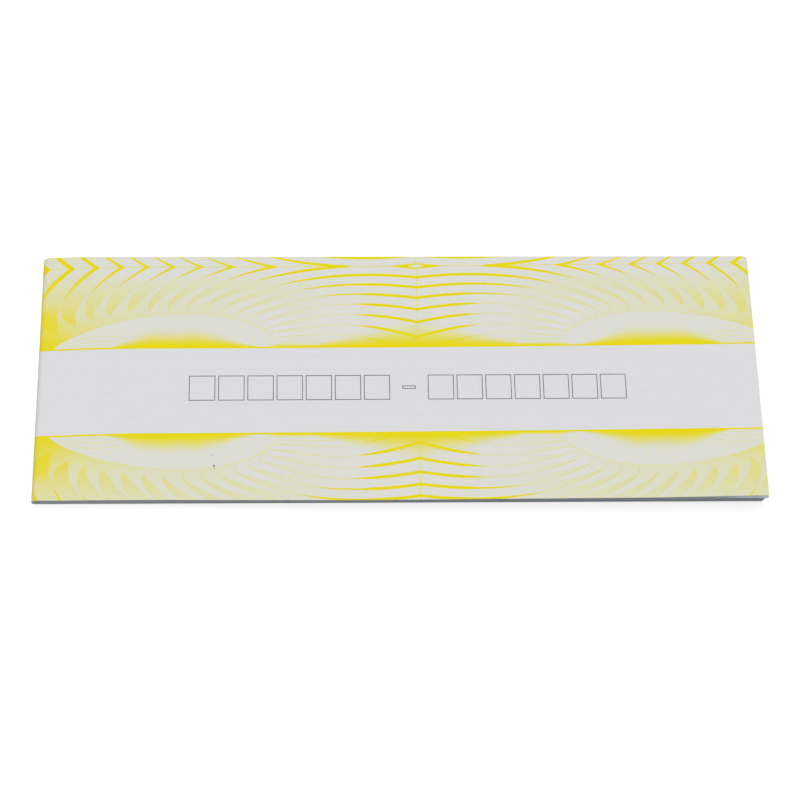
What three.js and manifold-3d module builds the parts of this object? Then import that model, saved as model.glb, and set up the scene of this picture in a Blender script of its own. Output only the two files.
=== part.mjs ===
// Carbonless slip book with a paper cover wrapped round its spine.
// The book lies closed on its back: spine at -X, free edge at +X, page width along Y, +Z up.
// The origin is the centre of the rectangle that it rests on. All sizes are in millimetres.
import * as THREE from 'three';
import { mergeVertices } from 'three/addons/utils/BufferGeometryUtils.js';
import Module from 'manifold-3d';

const wasm = await Module();
wasm.setup();

// Outline
const BOOK_LENGTH = 297;
const BOOK_WIDTH = 105;

// Paper
const COVER_THICKNESS = 0.25;
const SHEET_THICKNESS = 0.055;
const SHEET_AIR = 0.005;
const SHEETS_IN_SET = 2;
const SETS_IN_GROUP = 5;
const GROUP_COUNT = 7;
const LIFTED_SETS = 5;

// Binding
const GLUE_THICKNESS = 0.1;
const GLUE_WIDTH = 9;
const CLAMP_WIDTH = 10;
const MARGIN_WIDTH = 6;
const SPINE_TOP_RADIUS = 2.8;
const SPINE_FOOT_RADIUS = 1;
const CREASE_GAP = 0.1;

// Perforation between an original's margin and its leaf
const TIE_PITCH = 3.5;
const TIE_WIDTH = 0.9;
const CUT_WIDTH = 0.25;
const TIE_CLEARANCE = 0.02;

// Wire staples
const WIRE_RADIUS = 0.25;
const WIRE_CLEARANCE = 0.1;
const WIRE_BEND_RADIUS = 0.5;
const STAPLE_CROWN = 12;
const STAPLE_CLINCH = 4;
const STAPLE_SPACING = 52;
const STAPLE_INSET = 5.5;

// Air between the leaves at the free edge
const AIR_OVER_SET = 0.076;
const AIR_OVER_GROUPS = 0.85;
const AIR_OVER_LEAF = 0.14;
const AIR_UNDER_COVER = 0.09;

// Counts of straight steps in curves
const SPINE_STEPS = 6;
const HOLE_SIDES = 8;
const BEND_STEPS = 3;

// Places worked out from the sizes
const SPINE_X = -BOOK_LENGTH / 2;
const FREE_X = BOOK_LENGTH / 2;
const CREASE_X = SPINE_X + CLAMP_WIDTH;
const LEAF_REACH = FREE_X - CREASE_X;
const SHEET_PITCH = SHEET_THICKNESS + SHEET_AIR;
const SET_PITCH = SHEETS_IN_SET * SHEET_PITCH;
const BLOCK_INSET = COVER_THICKNESS + GLUE_THICKNESS;
const CLOSED_SETS = GROUP_COUNT * SETS_IN_GROUP;
const CLOSED_TOP = BLOCK_INSET + CLOSED_SETS * SET_PITCH;
const BLOCK_TOP = CLOSED_TOP + LIFTED_SETS * SET_PITCH;
const STRIP_TOP = BLOCK_TOP + BLOCK_INSET;
const LIFTED_EDGE_FOOT = BLOCK_INSET + CLOSED_SETS * (SET_PITCH + AIR_OVER_SET) + AIR_OVER_GROUPS;
const LIFTED_SHEETS = LIFTED_SETS * SHEETS_IN_SET;
const COVER_EDGE_FOOT = LIFTED_EDGE_FOOT + LIFTED_SHEETS * (SHEET_PITCH + AIR_OVER_LEAF) + AIR_UNDER_COVER;

const book = new THREE.Group();

// A material with the colour, roughness and metalness of one kind of piece
function finish(color, roughness, metalness = 0) {
  return new THREE.MeshStandardMaterial({ color, roughness, metalness });
}

const coverFront = finish(0xd9d33c, 0.45);
const coverBack = finish(0xdcdcde, 0.5);
const whitePaper = finish(0xeeeeec, 0.85);
const bluePaper = finish(0xd3e2ee, 0.85);
const blockPaper = finish(0xdfe4e6, 0.9);
const glueFilm = finish(0xe6e0cc, 0.4);
const steelWire = finish(0xb9bcc0, 0.3, 1);

function addPiece(parent, name, geometry, material) {
  const piece = new THREE.Mesh(geometry, material);
  piece.name = name;
  parent.add(piece);
}

// The solid swept across the page width by an outline drawn in X and Z
function acrossPage(outline) {
  const geometry = new THREE.ExtrudeGeometry(new THREE.Shape(outline), {
    depth: BOOK_WIDTH,
    bevelEnabled: false,
  });
  return geometry.rotateX(Math.PI / 2).translate(0, BOOK_WIDTH / 2, 0);
}

// A flat sheet from an outline drawn in its own plane, its middle layer at z = 0
function sheetFrom(outline, thickness) {
  const geometry = new THREE.ExtrudeGeometry(new THREE.Shape(outline), {
    depth: thickness,
    bevelEnabled: false,
  });
  return geometry.translate(0, 0, -thickness / 2);
}

function rectangle(fromX, toX) {
  const half = BOOK_WIDTH / 2;
  return [
    new THREE.Vector2(fromX, -half),
    new THREE.Vector2(toX, -half),
    new THREE.Vector2(toX, half),
    new THREE.Vector2(fromX, half),
  ];
}

function toSolid(geometry) {
  const plain = geometry.clone();
  plain.deleteAttribute('normal');
  plain.deleteAttribute('uv');
  const merged = mergeVertices(plain, 1e-4);
  return new wasm.Manifold(new wasm.Mesh({
    numProp: 3,
    vertProperties: new Float32Array(merged.attributes.position.array),
    triVerts: new Uint32Array(merged.index.array),
  }));
}

function toGeometry(solid) {
  const mesh = solid.getMesh();
  const geometry = new THREE.BufferGeometry();
  geometry.setAttribute('position', new THREE.BufferAttribute(mesh.vertProperties, 3));
  geometry.setIndex(new THREE.BufferAttribute(mesh.triVerts, 1));
  const flat = geometry.toNonIndexed();
  flat.computeVertexNormals();
  return flat;
}

// The rounded side of the spine, from its top down to its foot, moved inwards by inset
function spineCurve(inset) {
  const points = [];
  const topRadius = SPINE_TOP_RADIUS - inset;
  const footRadius = SPINE_FOOT_RADIUS - inset;
  for (let step = 0; step <= SPINE_STEPS; step += 1) {
    const turn = (Math.PI / 2) * (1 + step / SPINE_STEPS);
    points.push(new THREE.Vector2(
      SPINE_X + SPINE_TOP_RADIUS + topRadius * Math.cos(turn),
      STRIP_TOP - SPINE_TOP_RADIUS + topRadius * Math.sin(turn),
    ));
  }
  for (let step = 0; step <= SPINE_STEPS; step += 1) {
    const turn = Math.PI + (Math.PI / 2) * (step / SPINE_STEPS);
    points.push(new THREE.Vector2(
      SPINE_X + SPINE_FOOT_RADIUS + footRadius * Math.cos(turn),
      SPINE_FOOT_RADIUS + footRadius * Math.sin(turn),
    ));
  }
  return points;
}

// The spine end of a stack of sheets between two heights, from its top down, shaped like the glue inside it
function stackEnd(foot, top) {
  const curve = spineCurve(BLOCK_INSET);
  const at = (height) => {
    const next = Math.max(1, curve.findIndex((point) => point.y <= height));
    const [above, below] = [curve[next - 1], curve[next]];
    const share = (above.y - height) / (above.y - below.y);
    return new THREE.Vector2(above.x + share * (below.x - above.x), height);
  };
  const between = curve.filter((point) => point.y < top - 1e-3 && point.y > foot + 1e-3);
  return [at(top), ...between, at(foot)];
}

// Back panel, spine and glued strip: one folded sheet of cover paper
function wrapCover() {
  const outside = spineCurve(0);
  const inside = spineCurve(COVER_THICKNESS).reverse();
  return acrossPage([
    new THREE.Vector2(CREASE_X, STRIP_TOP),
    ...outside,
    new THREE.Vector2(FREE_X, 0),
    new THREE.Vector2(FREE_X, COVER_THICKNESS),
    ...inside,
    new THREE.Vector2(CREASE_X, STRIP_TOP - COVER_THICKNESS),
  ]);
}

// The film of glue between the wrap and the ends of the sheets
function spineGlue() {
  const glueEnd = SPINE_X + GLUE_WIDTH;
  const outside = spineCurve(COVER_THICKNESS);
  const inside = spineCurve(BLOCK_INSET).reverse();
  return acrossPage([
    new THREE.Vector2(glueEnd, STRIP_TOP - COVER_THICKNESS),
    ...outside,
    new THREE.Vector2(glueEnd, COVER_THICKNESS),
    new THREE.Vector2(glueEnd, BLOCK_INSET),
    ...inside,
    new THREE.Vector2(glueEnd, BLOCK_TOP),
  ]);
}

// The height of the foot of a closed set, clamped in the binding and fanned at the free edge
function setFootInBinding(set) {
  return BLOCK_INSET + set * SET_PITCH;
}

function setFootAtEdge(set) {
  return BLOCK_INSET + set * (SET_PITCH + AIR_OVER_SET);
}

// Sets that are clamped as one stack and part at the crease, each set a fin
function closedGroup(firstSet) {
  const foot = setFootInBinding(firstSet);
  const top = setFootInBinding(firstSet + SETS_IN_GROUP);
  const outline = [...stackEnd(foot, top)];
  for (let set = firstSet; set < firstSet + SETS_IN_GROUP; set += 1) {
    outline.push(new THREE.Vector2(CREASE_X, setFootInBinding(set)));
    outline.push(new THREE.Vector2(FREE_X, setFootAtEdge(set)));
    outline.push(new THREE.Vector2(FREE_X, setFootAtEdge(set) + SET_PITCH));
  }
  outline.push(new THREE.Vector2(CREASE_X, top));
  return acrossPage(outline);
}

// The clamped ends of the sheets whose leaves are modelled one by one
function liftedStubs() {
  return acrossPage([
    ...stackEnd(CLOSED_TOP, BLOCK_TOP),
    new THREE.Vector2(CREASE_X, CLOSED_TOP),
    new THREE.Vector2(CREASE_X, BLOCK_TOP),
  ]);
}

const STAPLE_X = SPINE_X + STAPLE_INSET;
const stapleMiddles = [STAPLE_SPACING / 2, -STAPLE_SPACING / 2];
const HOLE_RADIUS = WIRE_RADIUS + WIRE_CLEARANCE;
const CROWN_Z = BLOCK_TOP - HOLE_RADIUS;
const CLINCH_Z = BLOCK_INSET + HOLE_RADIUS;

// An upright prism that clears one leg of a staple, through the whole binding
function legHole(y) {
  const height = BLOCK_TOP - BLOCK_INSET + 2 * SPINE_TOP_RADIUS;
  const hole = new THREE.CylinderGeometry(HOLE_RADIUS, HOLE_RADIUS, height, HOLE_SIDES);
  return hole.rotateX(Math.PI / 2).translate(STAPLE_X, y, (BLOCK_TOP + BLOCK_INSET) / 2);
}

// A slot along the page width that clears a lying stretch of wire
function wireSlot(fromY, toY, z) {
  const length = Math.abs(toY - fromY) + 2 * HOLE_RADIUS;
  const slot = new THREE.BoxGeometry(2 * HOLE_RADIUS, length, 4 * HOLE_RADIUS);
  return slot.translate(STAPLE_X, (fromY + toY) / 2, z);
}

// The room that the staples take: a hole for each leg, and slots for the crown and the turned-in ends
function stapleRoom() {
  const room = [];
  for (const middle of stapleMiddles) {
    const [far, near] = [middle + STAPLE_CROWN / 2, middle - STAPLE_CROWN / 2];
    room.push(legHole(far), legHole(near));
    room.push(wireSlot(near, far, BLOCK_TOP));
    room.push(wireSlot(far - STAPLE_CLINCH, far, BLOCK_INSET));
    room.push(wireSlot(near, near + STAPLE_CLINCH, BLOCK_INSET));
  }
  return room.map(toSolid).reduce((sum, piece) => sum.add(piece));
}

// A path through given points, with a ring of the tube at each of them
class WirePath extends THREE.Curve {
  constructor(points) {
    super();
    this.points = points;
  }

  getPointAt(share) {
    return this.points[Math.round(share * (this.points.length - 1))].clone();
  }

  getTangentAt(share) {
    const index = Math.round(share * (this.points.length - 1));
    const before = this.points[Math.max(index - 1, 0)];
    const after = this.points[Math.min(index + 1, this.points.length - 1)];
    return after.clone().sub(before).normalize();
  }
}

// A quarter bend of wire that starts at an angle, about a centre in the plane of the staple
function quarterBend(centreY, centreZ, start) {
  const points = [];
  for (let step = 0; step <= BEND_STEPS; step += 1) {
    const turn = start + (Math.PI / 2) * (step / BEND_STEPS);
    points.push(new THREE.Vector3(
      STAPLE_X,
      centreY + WIRE_BEND_RADIUS * Math.cos(turn),
      centreZ + WIRE_BEND_RADIUS * Math.sin(turn),
    ));
  }
  return points;
}

// Staple: crown on the top sheets, legs down through the binding, ends turned in underneath
function staple(middle) {
  const [far, near] = [middle + STAPLE_CROWN / 2, middle - STAPLE_CROWN / 2];
  const path = new WirePath([
    new THREE.Vector3(STAPLE_X, far - STAPLE_CLINCH, CLINCH_Z),
    ...quarterBend(far - WIRE_BEND_RADIUS, CLINCH_Z + WIRE_BEND_RADIUS, -Math.PI / 2),
    ...quarterBend(far - WIRE_BEND_RADIUS, CROWN_Z - WIRE_BEND_RADIUS, 0),
    ...quarterBend(near + WIRE_BEND_RADIUS, CROWN_Z - WIRE_BEND_RADIUS, Math.PI / 2),
    ...quarterBend(near + WIRE_BEND_RADIUS, CLINCH_Z + WIRE_BEND_RADIUS, Math.PI),
    new THREE.Vector3(STAPLE_X, near + STAPLE_CLINCH, CLINCH_Z),
  ]);
  const section = new THREE.Shape().absarc(0, 0, WIRE_RADIUS, 0, 2 * Math.PI);
  return new THREE.ExtrudeGeometry(section, {
    steps: path.points.length - 1,
    curveSegments: HOLE_SIDES,
    extrudePath: path,
    bevelEnabled: false,
  });
}

// A group turned about the crease so that a sheet in it reaches its height at the free edge
function fannedAt(crease, edge) {
  const plane = new THREE.Group();
  plane.position.set(CREASE_X, 0, crease);
  plane.rotation.y = -Math.atan2(edge - crease, LEAF_REACH);
  book.add(plane);
  return plane;
}

// The leaf of an original, with the ties of its perforation along the edge towards the margin
function perforatedOutline() {
  const count = Math.round(BOOK_WIDTH / TIE_PITCH);
  const pitch = BOOK_WIDTH / count;
  const tieEnd = MARGIN_WIDTH + TIE_CLEARANCE;
  const cutEnd = MARGIN_WIDTH + CUT_WIDTH;
  const outline = [
    new THREE.Vector2(cutEnd, -BOOK_WIDTH / 2),
    new THREE.Vector2(LEAF_REACH, -BOOK_WIDTH / 2),
    new THREE.Vector2(LEAF_REACH, BOOK_WIDTH / 2),
    new THREE.Vector2(cutEnd, BOOK_WIDTH / 2),
  ];
  for (let tie = 0; tie < count; tie += 1) {
    const middle = BOOK_WIDTH / 2 - (tie + 0.5) * pitch;
    outline.push(new THREE.Vector2(cutEnd, middle + TIE_WIDTH / 2));
    outline.push(new THREE.Vector2(tieEnd, middle + TIE_WIDTH / 2));
    outline.push(new THREE.Vector2(tieEnd, middle - TIE_WIDTH / 2));
    outline.push(new THREE.Vector2(cutEnd, middle - TIE_WIDTH / 2));
  }
  return outline;
}

// A sheet modelled by itself: the height of its middle layer at the crease and at the free edge
function liftedPlane(fromTop) {
  const index = LIFTED_SHEETS - 1 - fromTop;
  const crease = CLOSED_TOP + index * SHEET_PITCH + SHEET_PITCH / 2;
  const edge = LIFTED_EDGE_FOOT + index * (SHEET_PITCH + AIR_OVER_LEAF) + SHEET_PITCH / 2;
  return fannedAt(crease, edge);
}

function addLiftedSet(number) {
  const original = liftedPlane((number - 1) * SHEETS_IN_SET);
  const margin = sheetFrom(rectangle(CREASE_GAP, MARGIN_WIDTH), SHEET_THICKNESS);
  addPiece(original, `original_${number}_margin`, margin, whitePaper);
  const leaf = sheetFrom(perforatedOutline(), SHEET_THICKNESS);
  addPiece(original, `original_${number}_leaf`, leaf, whitePaper);
  const copy = liftedPlane((number - 1) * SHEETS_IN_SET + 1);
  const copyLeaf = sheetFrom(rectangle(CREASE_GAP, LEAF_REACH), SHEET_THICKNESS);
  addPiece(copy, `copy_${number}_leaf`, copyLeaf, bluePaper);
}

function addClosedGroups(room) {
  for (let group = 0; group < GROUP_COUNT; group += 1) {
    const firstSet = group * SETS_IN_GROUP;
    const first = LIFTED_SETS + CLOSED_SETS - firstSet - SETS_IN_GROUP + 1;
    const last = first + SETS_IN_GROUP - 1;
    const name = `sets_${String(first).padStart(2, '0')}_to_${String(last).padStart(2, '0')}`;
    const stack = toSolid(closedGroup(firstSet)).subtract(room);
    addPiece(book, name, toGeometry(stack), blockPaper);
  }
}

function addFrontCover() {
  const middle = COVER_THICKNESS / 2;
  const panel = fannedAt(STRIP_TOP - middle, COVER_EDGE_FOOT + middle);
  const sheet = sheetFrom(rectangle(CREASE_GAP, LEAF_REACH), COVER_THICKNESS);
  addPiece(panel, 'front_cover', sheet, coverFront);
}

const room = stapleRoom();
addPiece(book, 'wrap_cover', wrapCover(), coverBack);
addPiece(book, 'spine_glue', spineGlue(), glueFilm);
addClosedGroups(room);
addPiece(book, 'lifted_stubs', toGeometry(toSolid(liftedStubs()).subtract(room)), blockPaper);
addPiece(book, 'staple_far', staple(stapleMiddles[0]), steelWire);
addPiece(book, 'staple_near', staple(stapleMiddles[1]), steelWire);
for (let number = 1; number <= LIFTED_SETS; number += 1) addLiftedSet(number);
addFrontCover();

export default book;
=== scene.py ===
# %% [markdown]
# # A carbonless delivery note book in Blender
#
# The object is a stapled book of slips: a printed paper cover wraps round the short left edge, and forty
# sets of two sheets, a white original over a pale blue copy, fan out towards the right. The solid parts,
# their sizes and their joints come from the packed CAD model, which is loaded as a fixed frame. Everything
# that follows gives those parts their paper, print, steel and light. Blender works in metres here.

# %% Load the packed model
import math

import bmesh
import bpy
import numpy as np
from mathutils import Matrix, Vector


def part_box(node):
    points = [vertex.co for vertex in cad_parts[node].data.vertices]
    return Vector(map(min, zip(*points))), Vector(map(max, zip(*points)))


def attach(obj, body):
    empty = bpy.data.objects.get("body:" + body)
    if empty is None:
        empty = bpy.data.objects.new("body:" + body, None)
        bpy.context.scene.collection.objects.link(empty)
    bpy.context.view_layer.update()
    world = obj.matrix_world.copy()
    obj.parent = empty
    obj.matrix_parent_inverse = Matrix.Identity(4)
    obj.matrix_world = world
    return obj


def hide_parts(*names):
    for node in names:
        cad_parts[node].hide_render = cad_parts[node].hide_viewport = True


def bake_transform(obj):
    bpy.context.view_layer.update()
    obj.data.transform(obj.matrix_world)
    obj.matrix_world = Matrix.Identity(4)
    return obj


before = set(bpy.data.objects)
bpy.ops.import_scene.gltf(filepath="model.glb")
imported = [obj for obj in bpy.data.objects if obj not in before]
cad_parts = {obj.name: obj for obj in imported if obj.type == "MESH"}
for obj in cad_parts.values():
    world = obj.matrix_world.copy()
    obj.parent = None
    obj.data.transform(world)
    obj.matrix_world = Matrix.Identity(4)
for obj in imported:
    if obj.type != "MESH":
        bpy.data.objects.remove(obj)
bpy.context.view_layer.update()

MM = 0.001

# %% [markdown]
# ## The page's own measures
#
# The sheets repeat the sizes that the CAD parts have, and reading them from the loaded parts keeps the two
# the same. Only the paper, the roundings and the crease, which boxes don't give directly, are written out.
# The block of leaves lies a little inside the wrap's outer face, and a sheet that turns bends over a short
# stretch about the crease. Page positions below are millimetres from the middle of the book, x to the right
# and y away from the reader.

# %% Read the sizes from the parts
cover_low, cover_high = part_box("front_cover")
wrap_low, wrap_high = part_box("wrap_cover")
LEFT, RIGHT = wrap_low.x / MM, cover_high.x / MM
NEAR, FAR = cover_low.y / MM, cover_high.y / MM
STRIP_TOP, COVER_TOP = wrap_high.z / MM, cover_high.z / MM
COVER_THICKNESS = 0.25
SHEET = 0.055
BLOCK_INSET = 0.35
CREASE = -138.5
BEND_START, BEND_END = -138.9, -138.1
SPINE_RADIUS = 2.8
FOOT_RADIUS = 1.0
print(f"page {RIGHT - LEFT:.1f} x {FAR - NEAR:.1f} mm, spine {STRIP_TOP:.2f}, free edge {COVER_TOP:.2f}")

# %% [markdown]
# ## The camera
#
# The photograph looks down at about 71 degrees with a short telephoto lens, from a little left of the book's
# middle, and the camera is rolled so that the long edges run almost level in the picture. The two turns are
# applied one after the other: first the view direction, from a height angle and a compass angle, and then a
# roll about it. A matrix with the camera's right, up and backward directions as its columns holds both, and
# no part of the scene has to be tilted for it.

# %% Place the camera
SENSOR_WIDTH, FOCAL_LENGTH, NEAREST_SEEN = 36, 72.37, 0.01
CAMERA_PLACE = (-0.04259, -0.21714, 0.6319)
HEIGHT_ANGLE, COMPASS_ANGLE, ROLL_ANGLE = (math.radians(angle) for angle in (71.388, 11.495, 10.903))


def aim(height, compass, roll):
    """The camera's right, up and backward directions."""
    flat = math.cos(height)
    forward = Vector((math.sin(compass) * flat, math.cos(compass) * flat, -math.sin(height)))
    level = Vector((math.cos(compass), -math.sin(compass), 0))
    upright = level.cross(forward)
    right = math.cos(roll) * level + math.sin(roll) * upright
    up = math.cos(roll) * upright - math.sin(roll) * level
    return right, up, -forward


lens = bpy.data.cameras.new("photo_camera")
lens.sensor_width = SENSOR_WIDTH
lens.lens = FOCAL_LENGTH
lens.clip_start = NEAREST_SEEN
camera = bpy.data.objects.new("photo_camera", lens)
bpy.context.scene.collection.objects.link(camera)
axes = Matrix(aim(HEIGHT_ANGLE, COMPASS_ANGLE, ROLL_ANGLE)).transposed().to_4x4()
camera.matrix_world = Matrix.Translation(CAMERA_PLACE) @ axes
bpy.context.scene.camera = camera
print("lens", lens.lens, "mm, camera at", [round(v, 3) for v in camera.location])

# %% [markdown]
# ## Arithmetic on a surface
#
# A printed pattern needs long formulas, and a Math node does one step of one. This small class wraps a
# socket so that `+`, `*` and a few named curves add the nodes themselves, and the formula of a finish can
# then be read as a formula. Every soft border comes from `ramp`, a step from 0 to 1 between two values.

# %% A value that varies over a surface
class Tone:
    """A number at each point of a surface, held as a node socket."""

    def __init__(self, tree, socket):
        self.tree, self.socket = tree, socket

    def step(self, operation, *others):
        node = self.tree.nodes.new("ShaderNodeMath")
        node.operation = operation
        for place, value in enumerate((self, *others)):
            if isinstance(value, Tone):
                self.tree.links.new(value.socket, node.inputs[place])
            else:
                node.inputs[place].default_value = value
        return Tone(self.tree, node.outputs[0])

    def __add__(self, other):
        return self.step("ADD", other)

    def __sub__(self, other):
        return self.step("SUBTRACT", other)

    def __mul__(self, other):
        return self.step("MULTIPLY", other)

    def __truediv__(self, other):
        return self.step("DIVIDE", other)

    __radd__, __rmul__ = __add__, __mul__

    def __rsub__(self, other):
        return (self * -1) + other

    def size(self):
        return self.step("ABSOLUTE")

    def least(self, other):
        return self.step("MINIMUM", other)

    def most(self, other):
        return self.step("MAXIMUM", other)

    def ramp(self, low, high):
        node = self.tree.nodes.new("ShaderNodeMapRange")
        node.interpolation_type = "SMOOTHSTEP"
        self.tree.links.new(self.socket, node.inputs["Value"])
        for name, value in (("From Min", low), ("From Max", high)):
            if isinstance(value, Tone):
                self.tree.links.new(value.socket, node.inputs[name])
            else:
                node.inputs[name].default_value = value
        return Tone(self.tree, node.outputs["Result"])

    def below(self, edge, soft):
        """1 where the value is under the edge, 0 over it, with a soft border."""
        return 1 - (self - edge).ramp(-soft, soft)

    def wave(self, period):
        """0 to 1 and back in each period."""
        return self.step("MULTIPLY", 2 * math.pi / period).step("SINE") * 0.5 + 0.5

    def nearest(self):
        """The distance to the nearest whole number."""
        return (self - self.step("ROUND")).size()


print("a tone can:", [name for name in vars(Tone) if not name.startswith("_")])

# %% [markdown]
# ## Paper
#
# Paper is matt, faintly mottled, and rough at the scale of its fibres, which show as short soft streaks. A
# photograph scan could give that, but noise computed from the piece's own coordinates has no seams and
# stays sharp from any distance. Coarse noise clouds the colour by about a hundredth, and fine stretched
# noise gives the fibre bump. These helpers leave the colour open, so that print can be laid over it.

# %% The ground that every paper shares
FIBRE_WIDTH, MOTTLE_WIDTH = 0.35, 4.5


def start_material(name):
    material = bpy.data.materials.new(name)
    material.use_nodes = True
    tree = material.node_tree
    return material, tree, tree.nodes["Principled BSDF"]


def page_place(tree):
    """Object coordinates in millimetres, as a vector socket and as x and y tones."""
    where = tree.nodes.new("ShaderNodeTexCoord")
    scale = tree.nodes.new("ShaderNodeVectorMath")
    scale.operation = "SCALE"
    scale.inputs["Scale"].default_value = 1 / MM
    tree.links.new(where.outputs["Object"], scale.inputs[0])
    split = tree.nodes.new("ShaderNodeSeparateXYZ")
    tree.links.new(scale.outputs[0], split.inputs[0])
    return scale.outputs[0], Tone(tree, split.outputs[0]), Tone(tree, split.outputs[1])


def cloud(tree, place, size, detail=2.0, stretch=(1, 1, 1)):
    """Noise about 0.5, in patches of the given size in millimetres."""
    mapping = tree.nodes.new("ShaderNodeMapping")
    mapping.inputs["Scale"].default_value = [s / size for s in stretch]
    tree.links.new(place, mapping.inputs["Vector"])
    noise = tree.nodes.new("ShaderNodeTexNoise")
    noise.inputs["Detail"].default_value = detail
    tree.links.new(mapping.outputs[0], noise.inputs["Vector"])
    return Tone(tree, noise.outputs["Fac"])


def tint(tree, share, first, second):
    """The colour socket between two colours; either may be a colour or a socket."""
    mix = tree.nodes.new("ShaderNodeMix")
    mix.data_type = "RGBA"
    tree.links.new(share.socket, mix.inputs["Factor"])
    ends = [s for s in mix.inputs if s.type == "RGBA"]
    for socket, colour in zip(ends, (first, second)):
        if isinstance(colour, bpy.types.NodeSocket):
            tree.links.new(colour, socket)
        else:
            socket.default_value = (*colour, 1)
    return [s for s in mix.outputs if s.type == "RGBA"][0]


def fibres(tree, shader, place, depth):
    """The bump of paper fibre, with its depth in millimetres."""
    streaks = cloud(tree, place, FIBRE_WIDTH, 4, (1, 2.2, 1))
    height = streaks * 0.7 + cloud(tree, place, MOTTLE_WIDTH, 2) * 0.6
    bump = tree.nodes.new("ShaderNodeBump")
    bump.inputs["Distance"].default_value = depth * MM
    bump.inputs["Strength"].default_value = 0.5
    tree.links.new(height.socket, bump.inputs["Height"])
    tree.links.new(bump.outputs[0], shader.inputs["Normal"])


def rgb(*picture_values):
    """A linear colour from the 0 to 255 values that a picture shows."""
    shares = [value / 255 for value in picture_values]
    return tuple(((c + 0.055) / 1.055) ** 2.4 if c > 0.04 else c / 12.92 for c in shares)


PAPER = rgb(221, 221, 223)
YELLOW = rgb(229, 214, 3)
PALE_YELLOW = rgb(220, 221, 3)
BLUE = rgb(203, 215, 222)
LINE_GREY = rgb(96, 98, 112)
BOX_INK = rgb(70, 52, 66)
print("paper", [round(c, 2) for c in PAPER])

# %% [markdown]
# ## The law of the cover's print
#
# The cover carries a common security-style line pattern: one family of nested curves, mirrored about a seam
# across the book and about a hairline near its far edge. Drawing each line as a curve would fix its width
# and make hundreds of pieces. A law is better: curve number i is a rounded box whose width, height, middle
# and squareness are smooth functions of i. At each point of the sheet the number of the curve that passes
# through it is found by trying many numbers. Whole numbers are then lines, and the part between two whole
# numbers says how far a point lies between two lines, which places the tinted crescents. First the page is
# folded at its mirrors, so that one law serves for all four quarters. The print is skewed a little, and it
# dips by the spine.

# %% Fold the page at the pattern's mirrors
SEAM = 7.05
HAIRLINE = 48.15
TIP_HEIGHT = 35.5
SHEAR, UNSHEARED_ROW = 0.0038, 11
RIGHT_STRETCH, LEFT_STRETCH, NEAR_STRETCH = 1.006, 0.994, 0.965
SAG_START, SAG_LENGTH, SAG_DEPTH = -104, 42, 1.1


def band_edges(x):
    """The far and near edges of the plain band across the cover."""
    return 11.72 + 0.0037 * x + 2.5e-5 * x * x, -24.7 + 0.0025 * x + 2.2e-5 * x * x


def hairline(x):
    """The row of the hairline, which is bowed a little."""
    return HAIRLINE + 0.006 * x + 3e-5 * x * x


def sag(x):
    """How far the print dips towards the near edge beside the spine, where the sheet was drawn down."""
    return SAG_DEPTH * (np.maximum(SAG_START - x, 0) / SAG_LENGTH) ** 1.6


def fold(page_x, page_y):
    """The distance from the seam and the height over the band, mirrored, with the skew taken out."""
    y = page_y + sag(page_x)
    x = page_x - SHEAR * (y - UNSHEARED_ROW)
    far_edge, near_edge = band_edges(x)
    far_line = hairline(x)
    from_seam = np.abs(x - SEAM) / np.where(x > SEAM, RIGHT_STRETCH, LEFT_STRETCH)
    over = TIP_HEIGHT * (y - far_edge) / (far_line - far_edge)
    over = np.where(y > far_line, TIP_HEIGHT - (y - far_line), over)
    under = (near_edge - y) * NEAR_STRETCH
    return from_seam, np.where(y > (far_edge + near_edge) / 2, over, under)


folded = fold(np.array([-100.0, 100.0]), np.array([40.0, -40.0]))
print("two page points folded to:", np.round(folded, 1).T.tolist())

# %% [markdown]
# On the folded page u is the distance from the seam and v the height over the band. A curve rises from the
# seam over its middle, turns down at its reach into a hook, and tucks back along the white lens that stands
# on the band. The numbers in these formulas are the law's own constants. Most of them come from least-squares
# fits to points traced along the curves in the photograph, adjusted afterwards by comparing renders with it.

# %% Curve numbers on the folded page
LENS_MIDDLE, LENS_HEIGHT = 95, 14.7
LENS_OUTER, LENS_INNER = 56.0, 37.5
FIRST_CURVE, LAST_CURVE = -3.0, 18.9


def lens_top(u):
    """The rim of the white lens over the band."""
    outward = u > LENS_MIDDLE
    bow = np.clip(1 - ((u - LENS_MIDDLE) / np.where(outward, LENS_OUTER, LENS_INNER)) ** 2, 0, 1)
    return LENS_HEIGHT * bow ** np.where(outward, 0.76, 0.58)


def curve_shape(i):
    """Reach from the seam, height of the hook, top, middle and the two powers of curve i."""
    down = 16 - i
    reach = 63 + 3.3 * np.maximum(14.75 - i, 0) ** 1.317 - 0.35 * np.maximum(3 - i, 0)
    hook = 18.3 / (1 + np.exp((i - 14.76) / 1.94))
    top = 9.94 + 4.55 * down - 0.0386 * down * down + 0.6 * np.maximum(-down, 0) ** 2.1
    middle = 15.3 + 0.577 * np.maximum(i - 7.1, 0) ** 1.53
    square = 2.02 + 0.2 * np.exp(-(((i - 13.5) / 1.87) ** 2))
    point = 1.725 - 0.095 * np.maximum(i - 7.8, 0)
    return reach, hook, top, middle, square, point


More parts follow.
